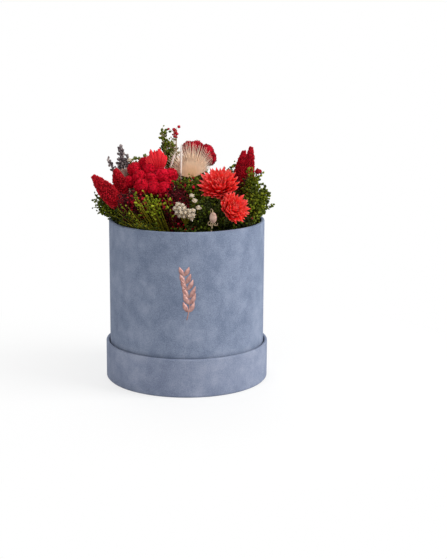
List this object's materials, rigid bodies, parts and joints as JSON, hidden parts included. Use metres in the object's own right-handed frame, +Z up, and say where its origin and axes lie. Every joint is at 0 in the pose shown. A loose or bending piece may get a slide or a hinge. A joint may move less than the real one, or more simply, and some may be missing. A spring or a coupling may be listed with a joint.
{
  "type": "flower box",
  "caption": "Round suede hat box standing in its own upturned lid, filled with dry foam that holds a low dome of dried flowers, palm leaf and green sprays.",
  "frame": {"origin": "centre of the upturned lid's underside, on the table", "axes": "+Z up along the drum's axis, -Y towards the front, +X to the right seen from the front"},
  "size_m": [0.1702, 0.158, 0.239],
  "materials": {
    "suede": "matt short-pile suede cloth",
    "board": "plain grey board",
    "lining_paper": "matt lining paper",
    "base_paper": "matt paper",
    "dry_foam": "crumbly dry foam",
    "stem_wire": "thin wrapped wire",
    "strawflower": "dry glossy bracts",
    "cockscomb": "velvety crumpled crest",
    "red_spike": "dry granular spike",
    "lavender": "dry grey-purple",
    "red_broom": "dry twigs and buds",
    "green_broom": "dry twigs and buds",
    "immortelle": "dry papery buds",
    "palm": "bleached dry leaf",
    "seed_pod": "dry pod"
  },
  "bodies": {
    "lid": {"lid_suede_panel": "suede", "lid_suede_band": "suede", "lid_filler_paper": "base_paper", "lid_panel_board": "board", "lid_rim_board": "board", "lid_lining_disc": "lining_paper", "lid_lining_band": "lining_paper"},
    "drum": {"drum_base_paper": "base_paper", "drum_suede_wrap": "suede", "drum_base_board": "board", "drum_wall_board": "board", "drum_lining_disc": "lining_paper", "drum_lining_band": "lining_paper"},
    "arrangement": {"broom_back_left": "green_broom", "broom_back_middle": "green_broom", "broom_back_right": "green_broom", "broom_centre": "green_broom", "broom_edge_left": "green_broom", "broom_front_left": "green_broom", "broom_heart": "green_broom", "broom_right": "green_broom", "broom_right_upper": "green_broom", "broom_side_left": "green_broom", "broom_side_right": "green_broom", "broom_top": "green_broom", "cockscomb_back": "cockscomb", "cockscomb_centre": "cockscomb", "cockscomb_left": "cockscomb", "cockscomb_right": "cockscomb", "foam_lower": "dry_foam", "foam_upper": "dry_foam", "immortelle_buds": "immortelle", "immortelle_cluster": "immortelle", "lavender_inner": "lavender", "lavender_left": "lavender", "lavender_tall": "lavender", "nigella_bud": "seed_pod", "palm_fan": "palm", "red_broom_centre": "red_broom", "red_broom_left": "red_broom", "seed_cup": "seed_pod", "spike_inner_left": "red_spike", "spike_outer_left": "red_spike", "spike_right_short": "red_spike", "spike_right_tall": "red_spike", "strawflower_lower_head": "strawflower", "strawflower_lower_wire": "stem_wire", "strawflower_upper_head": "strawflower", "strawflower_upper_wire": "stem_wire"}
  },
  "joints": [
    {"name": "drum_lift", "type": "slide", "parent": "lid", "child": "drum", "axis": [0, 0, 1], "range_m": [0, 0.06]},
    {"name": "arrangement_lift", "type": "slide", "parent": "drum", "child": "arrangement", "axis": [0, 0, 1], "range_m": [0, 0.155]}
  ]
}
